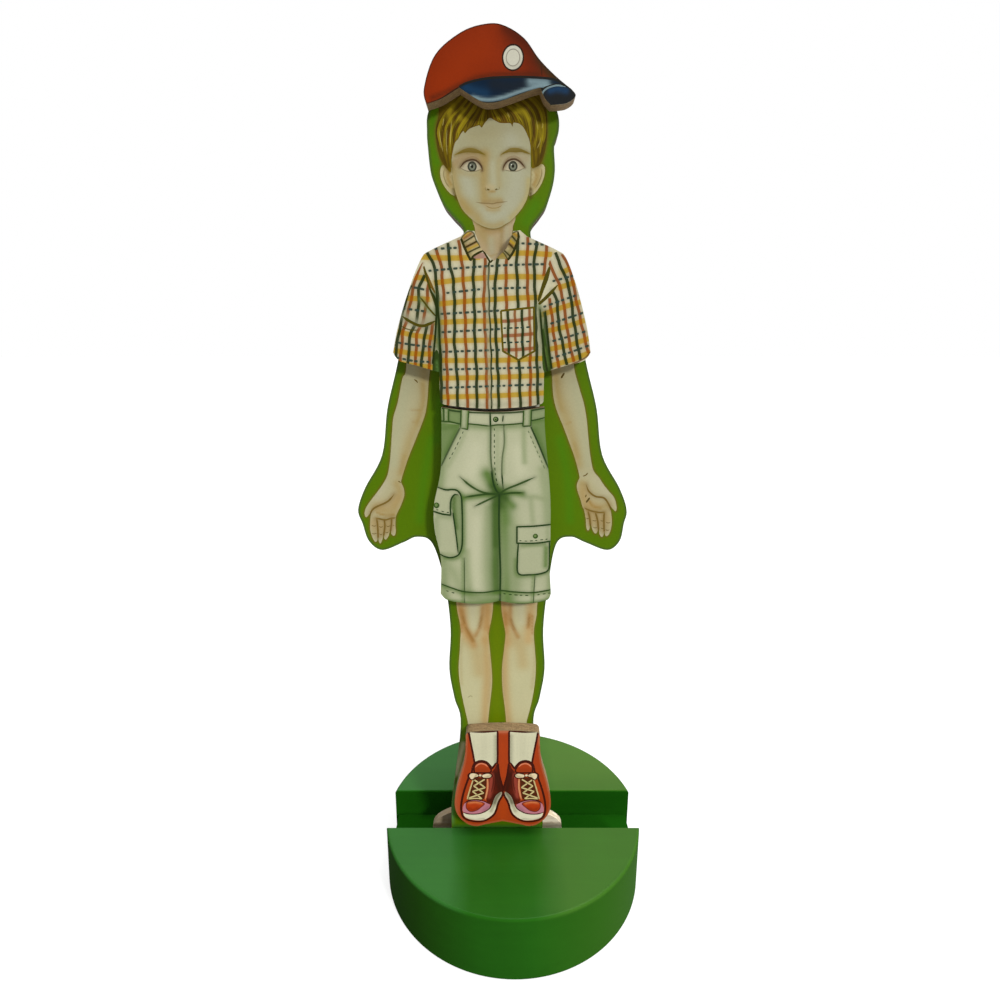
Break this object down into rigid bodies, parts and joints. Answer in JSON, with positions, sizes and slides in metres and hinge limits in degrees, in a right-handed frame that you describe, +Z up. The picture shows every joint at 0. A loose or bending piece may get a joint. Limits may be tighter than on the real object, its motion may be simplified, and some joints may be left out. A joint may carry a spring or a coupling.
{
  "type": "magnetic dress-up doll",
  "caption": "Flat cut-out doll board standing in the slot of a round wooden base, dressed in separate magnetic garments that lift off its printed face.",
  "frame": {"origin": "middle of the base's underside, on the surface that the doll stands on", "axes": "+Z up, the doll faces -Y, the slot runs along X"},
  "size_m": [0.0817, 0.08, 0.2338],
  "materials": {
    "base_lacquer": "satin green lacquer",
    "bare_wood": "bare pale wood",
    "figure_edge": "green-tinted cut edge of board",
    "board_edge": "bare cut edge of fibreboard",
    "back_sheet": "plain green coated paper",
    "figure_print": "satin coated print",
    "cap_print": "satin coated print",
    "shirt_print": "satin coated print",
    "shorts_print": "satin coated print",
    "shoes_print": "satin coated print",
    "keeper_steel": "plain",
    "magnet_ferrite": "matte dark ferrite"
  },
  "bodies": {
    "base": {"base": "base_lacquer"},
    "figure": {"foot_plate": "bare_wood", "foot_block": "bare_wood", "figure_board": "figure_edge", "figure_print": "figure_print", "figure_back_sheet": "back_sheet", "head_keepers": "keeper_steel", "chest_keepers": "keeper_steel", "hip_keepers": "keeper_steel", "foot_keepers": "keeper_steel"},
    "cap": {"cap_board": "board_edge", "cap_print": "cap_print", "cap_magnets": "magnet_ferrite"},
    "shirt": {"shirt_board": "board_edge", "shirt_print": "shirt_print", "shirt_magnets": "magnet_ferrite"},
    "shorts": {"shorts_board": "board_edge", "shorts_print": "shorts_print", "shorts_magnets": "magnet_ferrite"},
    "shoes": {"shoes_board": "board_edge", "shoes_print": "shoes_print", "shoes_magnets": "magnet_ferrite"}
  },
  "joints": [
    {"name": "figure_lift", "type": "slide", "parent": "base", "child": "figure", "axis": [0, 0, 1], "range_m": [0, 0.04]},
    {"name": "cap_pull", "type": "slide", "parent": "figure", "child": "cap", "axis": [0, -1, 0], "range_m": [0, 0.03]},
    {"name": "shirt_pull", "type": "slide", "parent": "figure", "child": "shirt", "axis": [0, -1, 0], "range_m": [0, 0.03]},
    {"name": "shorts_pull", "type": "slide", "parent": "figure", "child": "shorts", "axis": [0, -1, 0], "range_m": [0, 0.03]},
    {"name": "shoes_pull", "type": "slide", "parent": "figure", "child": "shoes", "axis": [0, -1, 0], "range_m": [0, 0.03]}
  ]
}
